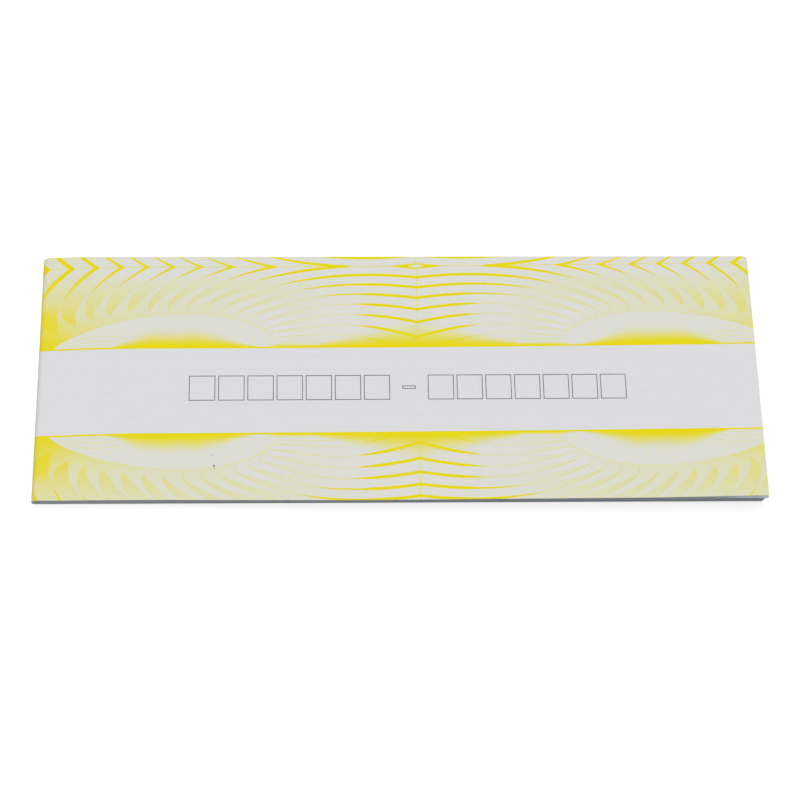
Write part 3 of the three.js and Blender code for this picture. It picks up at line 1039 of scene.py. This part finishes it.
# %% Seventy sheets in seven groups
SETS, SETS_EACH, TOP_SETS = 40, 5, 5
SHEET_IN_BINDING, SHEET_AT_EDGE = 0.06, 0.066
SET_IN_BINDING, SET_AT_EDGE = 0.12, 0.196
EDGE_SCATTER, FREE_TRIM, SIDE_TRIM = 0.012, (0.02, 0.24), (0.0, 0.16)
KNEE = 0.02
KNEE_START, KNEE_END, SETTLED = -141.0, -136.0, -120.0
WAVE_HEIGHT, WAVE_LENGTH, WAVE_START = 0.07, 19, 0.6
LEAF_REACH = RIGHT - CREASE
ROUND_INSIDE = SPINE_RADIUS - BLOCK_INSET
rng = np.random.default_rng(40)


def bound_end(top):
    """Where a sheet with its top at this height ends, inside the round of the spine."""
    over = np.clip(top - (STRIP_TOP - SPINE_RADIUS), 0, ROUND_INSIDE)
    return SPINE_TURN - math.sqrt(ROUND_INSIDE**2 - over**2)


def closed_sheet(set_number, is_copy):
    """One sheet of the block: set 0 is the lowest."""
    foot = BLOCK_INSET + SET_IN_BINDING * set_number + (0 if is_copy else SHEET_IN_BINDING)
    free = BLOCK_INSET + SET_AT_EDGE * set_number + (0 if is_copy else SHEET_AT_EDGE)
    free += rng.uniform(-EDGE_SCATTER, EDGE_SCATTER) if is_copy else 0
    right = RIGHT - rng.uniform(*FREE_TRIM)
    far_trim, near_trim = rng.uniform(*SIDE_TRIM, 2)
    wave_height = WAVE_HEIGHT * set_number / (SETS - TOP_SETS)

    def place(along, across, side):
        t = np.clip((along - CREASE) / LEAF_REACH, 0, 1)
        lift = np.sqrt(t * t + KNEE**2) - KNEE * (1 - t)
        wave = wave_height * t * np.sin(across / WAVE_LENGTH + WAVE_START) * np.sin(math.pi * t)
        trim = np.where(across > 0, far_trim, near_trim)
        y = across * (1 - trim / FAR) - pulled_in(along, across)
        return along, y, foot + (free - foot) * lift / lift.max() + wave + (1 + side) * SHEET

    columns = steps(bound_end(foot + SHEET), (KNEE_START, 2), (KNEE_END, 4), (SETTLED, 3), (right, 15))
    slot = 1 if is_copy else 0
    return columns, steps(NEAR, (FAR, 10)), place, (slot, slot, slot)


for first in range(SETS - SETS_EACH + 1, TOP_SETS, -SETS_EACH):
    last = first + SETS_EACH - 1
    name = f"sets_{first:02d}_to_{last:02d}"
    sheets = [
        closed_sheet(SETS - last + number, is_copy)
        for number in range(SETS_EACH)
        for is_copy in (True, False)
    ]
    block, _ = paper_piece("leaves_of_" + name, sheets, (WHITE_LEAF, BLUE_LEAF))
    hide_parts(name)
    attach(block, "bound_book")
    print(block.name, len(block.data.polygons), "faces")

# %% [markdown]
# ## The top sets
#
# The five top sets can be leafed through, so their sheets are pieces of their own. A copy is one sheet from
# the binding to the free edge. An original is a short margin that stays in the book and a leaf that tears
# off along a line of perforation. The margins and the copies are shaped to turn up at the crease, and the
# bound end of each takes the place of its layer in the CAD's stubs. The near edges of the copies stand out,
# a little more in each lower set, and the topmost reaches out further at the free corner, where it shows as
# a light strip under the cover.

# %% Ten sheets that turn
TOP_SET_FOOT, TOP_SET_EDGE, SHEET_LIFT = 4.55, 8.06, 0.2
COPY_SPREAD, COPY_SPREAD_STEP = 0.8, 0.08
TOPMOST_LIP, OTHER_LIP, LIP_START = 0.45, -0.15, 118
MARGIN_COLUMNS, COPY_COLUMNS = 3, 40


def bound_height(order):
    """The height in the binding of a sheet, the order-th from below among the ten."""
    return TOP_SET_FOOT + SHEET_IN_BINDING * order


def top_sheet(order, end, spread, lip):
    """The order-th sheet, out to the page position end, with its near edge out by spread and lip."""
    foot = bound_height(order)
    slope = (TOP_SET_EDGE + SHEET_LIFT * order - foot) / LEAF_REACH
    tilt = math.atan(slope)

    def place(along, across, side):
        past = along > CREASE
        rise = np.where(past, along - CREASE, 0) * slope
        turn = np.where(past, tilt, 0)
        up = (1 + side) * SHEET
        out = spread * stands_out(along, across) * (1 + lip * soft_step(along, LIP_START, FREE_CORNER))
        y = across - pulled_in(along, across) - out
        return along - np.sin(turn) * up, y, foot + rise + np.cos(turn) * up

    past_bend = COPY_COLUMNS if end > 0 else MARGIN_COLUMNS
    columns = steps(bound_end(foot + SHEET), (BEND_START, 4), (BEND_END, 8), (end, past_bend))
    return columns, steps(NEAR, (FAR, 14)), place, (0, 0, 0)


for number in range(1, TOP_SETS + 1):
    below = 2 * (TOP_SETS - number)
    lip = TOPMOST_LIP if number == 1 else OTHER_LIP
    for kind, order in (("copy", below), ("original", below + 1)):
        body = f"{kind}_{number}"
        node = body + ("_leaf" if kind == "copy" else "_margin")
        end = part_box(node)[1].x / MM
        finish = BLUE_LEAF if kind == "copy" else WHITE_LEAF
        spread = (COPY_SPREAD + COPY_SPREAD_STEP * number) * (kind == "copy")
        piece, _ = paper_piece(body + "_sheet", [top_sheet(order, end, spread, lip)], (finish,))
        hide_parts(node, "lifted_stubs")
        height = bound_height(order) * MM
        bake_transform(piece)

# %% [markdown]
# ## The parts that keep their CAD shape
#
# The tear-off leaves, with the tiny ties of their perforation, and the two staples are right as they are.
# They only need their finish, so the material slots of their objects are filled, and their meshes are left
# alone.

# %% Finish the carried-over parts
def finish_node(name, material):
    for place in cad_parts[name].material_slots:
        place.material = material


for number in range(1, TOP_SETS + 1):
    finish_node(f"original_{number}_leaf", WHITE_LEAF)
for name in ("staple_far", "staple_near"):
    finish_node(name, WIRE)
print("carried over:", [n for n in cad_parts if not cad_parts[n].hide_render])

# %% [markdown]
# ## The floor
#
# The photograph was taken on white. The floor is white only to the camera and to reflections. To diffuse
# light it is darker, as a table under a small light tent would be, and it still shows the book's soft shadow.

# %% A white floor
FLOOR_HALF, FLOOR_GAP = 4, 0.05
FLOOR_WHITE, FLOOR_GLOW, FLOOR_DIM = 0.35, 0.75, 0.3


def sees_background(tree):
    """1 for a camera, glossy or transmission ray."""
    path = tree.nodes.new("ShaderNodeLightPath")
    camera_ray, glossy_ray, transmission_ray = (
        Tone(tree, path.outputs[f"Is {kind} Ray"]) for kind in ("Camera", "Glossy", "Transmission")
    )
    return camera_ray.most(glossy_ray).most(transmission_ray)


def floor_material():
    material, tree, shader = start_material("white_floor")
    shader.inputs["Base Color"].default_value = (FLOOR_WHITE, FLOOR_WHITE, FLOOR_WHITE, 1)
    shader.inputs["Roughness"].default_value = 1
    shader.inputs["Specular IOR Level"].default_value = 0
    shader.inputs["Emission Color"].default_value = (1, 1, 1, 1)
    shader.inputs["Emission Strength"].default_value = FLOOR_GLOW
    dim = tree.nodes.new("ShaderNodeBsdfDiffuse")
    dim.inputs["Color"].default_value = (FLOOR_DIM, FLOOR_DIM, FLOOR_DIM, 1)
    mix = tree.nodes.new("ShaderNodeMixShader")
    tree.links.new(sees_background(tree).socket, mix.inputs[0])
    tree.links.new(dim.outputs[0], mix.inputs[1])
    tree.links.new(shader.outputs[0], mix.inputs[2])
    tree.links.new(mix.outputs[0], tree.nodes["Material Output"].inputs["Surface"])
    return material


bm = bmesh.new()
bmesh.ops.create_grid(bm, x_segments=1, y_segments=1, size=FLOOR_HALF)
bmesh.ops.translate(bm, verts=bm.verts[:], vec=(0, 0, -FLOOR_GAP * MM))
floor_mesh = bpy.data.meshes.new("floor")
bm.to_mesh(floor_mesh)
bm.free()
floor_mesh.materials.append(floor_material())
floor = bpy.data.objects.new("floor", floor_mesh)
bpy.context.scene.collection.objects.link(floor)
print("floor:", [round(v, 1) for v in floor.dimensions], "m")

# %% [markdown]
# ## The light
#
# The light is soft and comes from above. Two suns with wide angles do the same at any distance, and a dim
# even sky fills the sides, so the cut edges of the pages stay grey while the cover is pale. Their sum is
# about 1 on a level surface, at which a colour renders as it is written.

# %% The sky and two lamps
SKY = 0.30
LAMPS = (("key", 0.48, (-0.25, 0.35, 1.0), 50), ("fill", 0.22, (0.3, 0.1, 1.0), 70))

world = bpy.data.worlds.new("studio")
bpy.context.scene.world = world
world.use_nodes = True
sky = world.node_tree.nodes["Background"]
sky.inputs["Color"].default_value = (1, 1, 1, 1)
brightness = sees_background(world.node_tree) * (1 - SKY) + SKY
world.node_tree.links.new(brightness.socket, sky.inputs["Strength"])


def sun(name, share, toward, width):
    """A lamp from the given direction, for this share of full brightness on a level white surface."""
    lamp = bpy.data.lights.new(name, "SUN")
    direction = Vector(toward).normalized()
    lamp.energy = share * math.pi / direction.z
    lamp.angle = math.radians(width)
    holder = bpy.data.objects.new(name, lamp)
    holder.rotation_euler = direction.to_track_quat("Z", "Y").to_euler()
    bpy.context.scene.collection.objects.link(holder)
    return lamp.energy


for lamp in LAMPS:
    print(lamp[0], round(sun(*lamp), 2))
bpy.context.scene.view_settings.view_transform = "Standard"

# %% [markdown]
